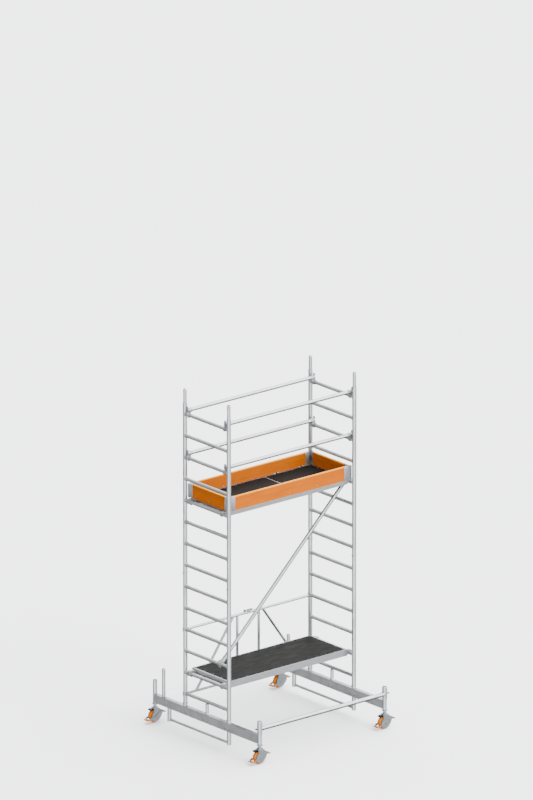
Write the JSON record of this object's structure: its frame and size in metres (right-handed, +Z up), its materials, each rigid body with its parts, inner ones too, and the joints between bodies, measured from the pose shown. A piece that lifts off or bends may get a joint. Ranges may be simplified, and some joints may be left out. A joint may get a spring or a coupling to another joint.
{
  "type": "frame scaffold section",
  "caption": "Mobile aluminium ladder-frame tower on braked castors, with a folding base unit, two decks, a hatch, guardrails and toeboards.",
  "frame": {"origin": "on the floor under the middle of the tower", "axes": "+X along the bay, +Y towards the folding panel at the back, +Z up"},
  "size_m": [2.0662, 1.898, 4.009],
  "materials": {
    "aluminium": "satin",
    "zinc_steel": "zinc plated",
    "cast_claw": "cast",
    "latch": "satin",
    "deck_board": "film-faced plywood",
    "toeboard": "painted",
    "fitting": "mill",
    "wheel": "polyurethane",
    "pedal": "satin"
  },
  "bodies": {
    "tower": {"beam_left": "aluminium", "beam_right": "aluminium", "lower_frame_left": "aluminium", "lower_frame_right": "aluminium", "upper_frame_left": "aluminium", "upper_frame_right": "aluminium", "base_tube": "aluminium", "fold_panel_left": "aluminium", "fold_panel_right": "aluminium", "joint_clips": "zinc_steel", "adjusting_nuts": "zinc_steel", "lower_deck_frame": "aluminium", "lower_deck_board": "deck_board", "upper_deck_frame": "aluminium", "upper_deck_board": "deck_board", "rail_front_top": "aluminium", "rail_front_mid": "aluminium", "rail_back_top": "aluminium", "rail_back_mid": "aluminium", "brace": "aluminium", "toeboard_front": "toeboard", "toeboard_back": "toeboard", "toeboard_left": "toeboard", "toeboard_right": "toeboard", "toeboard_fittings": "fitting"},
    "stem_fl": {"stem_fl": "zinc_steel"},
    "fork_fl": {"fork_fl": "zinc_steel"},
    "wheel_fl": {"wheel_fl": "wheel"},
    "pedal_fl": {"pedal_fl": "pedal"},
    "stem_fr": {"stem_fr": "zinc_steel"},
    "fork_fr": {"fork_fr": "zinc_steel"},
    "wheel_fr": {"wheel_fr": "wheel"},
    "pedal_fr": {"pedal_fr": "pedal"},
    "stem_bl": {"stem_bl": "zinc_steel"},
    "fork_bl": {"fork_bl": "zinc_steel"},
    "wheel_bl": {"wheel_bl": "wheel"},
    "pedal_bl": {"pedal_bl": "pedal"},
    "stem_br": {"stem_br": "zinc_steel"},
    "fork_br": {"fork_br": "zinc_steel"},
    "wheel_br": {"wheel_br": "wheel"},
    "pedal_br": {"pedal_br": "pedal"},
    "wing_left": {"wing_left": "cast_claw"},
    "wing_right": {"wing_right": "cast_claw"},
    "panel_catch": {"panel_catch": "cast_claw"},
    "lower_latch_left": {"lower_latch_left": "latch"},
    "lower_latch_right": {"lower_latch_right": "latch"},
    "upper_latch_left": {"upper_latch_left": "latch"},
    "upper_latch_right": {"upper_latch_right": "latch"},
    "hatch": {"hatch": "deck_board"},
    "catch_front_top_left": {"catch_front_top_left": "cast_claw"},
    "catch_front_top_right": {"catch_front_top_right": "cast_claw"},
    "catch_front_mid_left": {"catch_front_mid_left": "cast_claw"},
    "catch_front_mid_right": {"catch_front_mid_right": "cast_claw"},
    "catch_back_top_left": {"catch_back_top_left": "cast_claw"},
    "catch_back_top_right": {"catch_back_top_right": "cast_claw"},
    "catch_back_mid_left": {"catch_back_mid_left": "cast_claw"},
    "catch_back_mid_right": {"catch_back_mid_right": "cast_claw"},
    "catch_brace_low": {"catch_brace_low": "cast_claw"},
    "catch_brace_high": {"catch_brace_high": "cast_claw"}
  },
  "joints": [
    {"name": "height_fl", "type": "slide", "parent": "tower", "child": "stem_fl", "axis": [0, 0, -1], "range_m": [0, 0.18]},
    {"name": "swivel_fl", "type": "hinge", "parent": "stem_fl", "child": "fork_fl", "pos_m": [-0.9, -0.9, 0.165], "axis": [0, 0, 1], "continuous": true},
    {"name": "roll_fl", "type": "hinge", "parent": "fork_fl", "child": "wheel_fl", "pos_m": [-0.91, -0.9, 0.075], "axis": [0, 1, 0], "continuous": true},
    {"name": "brake_fl", "type": "hinge", "parent": "fork_fl", "child": "pedal_fl", "pos_m": [-0.91, -0.9, 0.075], "axis": [0, -1, 0], "range_deg": [0, 10]},
    {"name": "height_fr", "type": "slide", "parent": "tower", "child": "stem_fr", "axis": [0, 0, -1], "range_m": [0, 0.18]},
    {"name": "swivel_fr", "type": "hinge", "parent": "stem_fr", "child": "fork_fr", "pos_m": [0.9, -0.9, 0.165], "axis": [0, 0, 1], "continuous": true},
    {"name": "roll_fr", "type": "hinge", "parent": "fork_fr", "child": "wheel_fr", "pos_m": [0.89, -0.9, 0.075], "axis": [0, 1, 0], "continuous": true},
    {"name": "brake_fr", "type": "hinge", "parent": "fork_fr", "child": "pedal_fr", "pos_m": [0.89, -0.9, 0.075], "axis": [0, -1, 0], "range_deg": [0, 10]},
    {"name": "height_bl", "type": "slide", "parent": "tower", "child": "stem_bl", "axis": [0, 0, -1], "range_m": [0, 0.18]},
    {"name": "swivel_bl", "type": "hinge", "parent": "stem_bl", "child": "fork_bl", "pos_m": [-0.9, 0.9, 0.165], "axis": [0, 0, 1], "continuous": true},
    {"name": "roll_bl", "type": "hinge", "parent": "fork_bl", "child": "wheel_bl", "pos_m": [-0.91, 0.9, 0.075], "axis": [0, 1, 0], "continuous": true},
    {"name": "brake_bl", "type": "hinge", "parent": "fork_bl", "child": "pedal_bl", "pos_m": [-0.91, 0.9, 0.075], "axis": [0, -1, 0], "range_deg": [0, 10]},
    {"name": "height_br", "type": "slide", "parent": "tower", "child": "stem_br", "axis": [0, 0, -1], "range_m": [0, 0.18]},
    {"name": "swivel_br", "type": "hinge", "parent": "stem_br", "child": "fork_br", "pos_m": [0.9, 0.9, 0.165], "axis": [0, 0, 1], "continuous": true},
    {"name": "roll_br", "type": "hinge", "parent": "fork_br", "child": "wheel_br", "pos_m": [0.89, 0.9, 0.075], "axis": [0, 1, 0], "continuous": true},
    {"name": "brake_br", "type": "hinge", "parent": "fork_br", "child": "pedal_br", "pos_m": [0.89, 0.9, 0.075], "axis": [0, -1, 0], "range_deg": [0, 10]},
    {"name": "clamp_left", "type": "hinge", "parent": "tower", "child": "wing_left", "pos_m": [-0.94, -0.9, 0.405], "axis": [1, 0, 0], "range_deg": [-180, 180]},
    {"name": "clamp_right", "type": "hinge", "parent": "tower", "child": "wing_right", "pos_m": [0.94, -0.9, 0.405], "axis": [1, 0, 0], "range_deg": [-180, 180]},
    {"name": "panel_release", "type": "hinge", "parent": "tower", "child": "panel_catch", "pos_m": [-0.045, 0.375, 1.248], "axis": [0, -1, 0], "range_deg": [0, 100]},
    {"name": "unlatch_lower_left", "type": "hinge", "parent": "tower", "child": "lower_latch_left", "pos_m": [-0.871, 0, 0.715], "axis": [0, -1, 0], "range_deg": [0, 50], "stiffness_Nm_per_rad": 0.3, "springref_deg": -57.3},
    {"name": "unlatch_lower_right", "type": "hinge", "parent": "tower", "child": "lower_latch_right", "pos_m": [0.871, 0, 0.715], "axis": [0, 1, 0], "range_deg": [0, 50], "stiffness_Nm_per_rad": 0.3, "springref_deg": -57.3},
    {"name": "unlatch_upper_left", "type": "hinge", "parent": "tower", "child": "upper_latch_left", "pos_m": [-0.871, 0, 2.715], "axis": [0, -1, 0], "range_deg": [0, 50], "stiffness_Nm_per_rad": 0.3, "springref_deg": -57.3},
    {"name": "unlatch_upper_right", "type": "hinge", "parent": "tower", "child": "upper_latch_right", "pos_m": [0.871, 0, 2.715], "axis": [0, 1, 0], "range_deg": [0, 50], "stiffness_Nm_per_rad": 0.3, "springref_deg": -57.3},
    {"name": "hatch_open", "type": "hinge", "parent": "tower", "child": "hatch", "pos_m": [0.35, 0.306, 2.783], "axis": [-1, 0, 0], "range_deg": [0, 88]},
    {"name": "open_front_top_left", "type": "hinge", "parent": "tower", "child": "catch_front_top_left", "pos_m": [-0.87335, -0.308, 3.717], "axis": [0, -1, 0], "range_deg": [0, 60], "stiffness_Nm_per_rad": 0.02, "springref_deg": -57.3},
    {"name": "open_front_top_right", "type": "hinge", "parent": "tower", "child": "catch_front_top_right", "pos_m": [0.87335, -0.308, 3.717], "axis": [0, 1, 0], "range_deg": [0, 60], "stiffness_Nm_per_rad": 0.02, "springref_deg": -57.3},
    {"name": "open_front_mid_left", "type": "hinge", "parent": "tower", "child": "catch_front_mid_left", "pos_m": [-0.87335, -0.308, 3.217], "axis": [0, -1, 0], "range_deg": [0, 60], "stiffness_Nm_per_rad": 0.02, "springref_deg": -57.3},
    {"name": "open_front_mid_right", "type": "hinge", "parent": "tower", "child": "catch_front_mid_right", "pos_m": [0.87335, -0.308, 3.217], "axis": [0, 1, 0], "range_deg": [0, 60], "stiffness_Nm_per_rad": 0.02, "springref_deg": -57.3},
    {"name": "open_back_top_left", "type": "hinge", "parent": "tower", "child": "catch_back_top_left", "pos_m": [-0.87335, 0.308, 3.717], "axis": [0, -1, 0], "range_deg": [0, 60], "stiffness_Nm_per_rad": 0.02, "springref_deg": -57.3},
    {"name": "open_back_top_right", "type": "hinge", "parent": "tower", "child": "catch_back_top_right", "pos_m": [0.87335, 0.308, 3.717], "axis": [0, 1, 0], "range_deg": [0, 60], "stiffness_Nm_per_rad": 0.02, "springref_deg": -57.3},
    {"name": "open_back_mid_left", "type": "hinge", "parent": "tower", "child": "catch_back_mid_left", "pos_m": [-0.87335, 0.308, 3.217], "axis": [0, -1, 0], "range_deg": [0, 60], "stiffness_Nm_per_rad": 0.02, "springref_deg": -57.3},
    {"name": "open_back_mid_right", "type": "hinge", "parent": "tower", "child": "catch_back_mid_right", "pos_m": [0.87335, 0.308, 3.217], "axis": [0, 1, 0], "range_deg": [0, 60], "stiffness_Nm_per_rad": 0.02, "springref_deg": -57.3},
    {"name": "open_brace_low", "type": "hinge", "parent": "tower", "child": "catch_brace_low", "pos_m": [-0.91423, -0.214, 0.9504], "axis": [0, 1, 0], "range_deg": [0, 60], "stiffness_Nm_per_rad": 0.02, "springref_deg": -57.3},
    {"name": "open_brace_high", "type": "hinge", "parent": "tower", "child": "catch_brace_high", "pos_m": [0.92399, -0.214, 2.73756], "axis": [0, -1, 0], "range_deg": [0, 60], "stiffness_Nm_per_rad": 0.02, "springref_deg": -57.3}
  ]
}
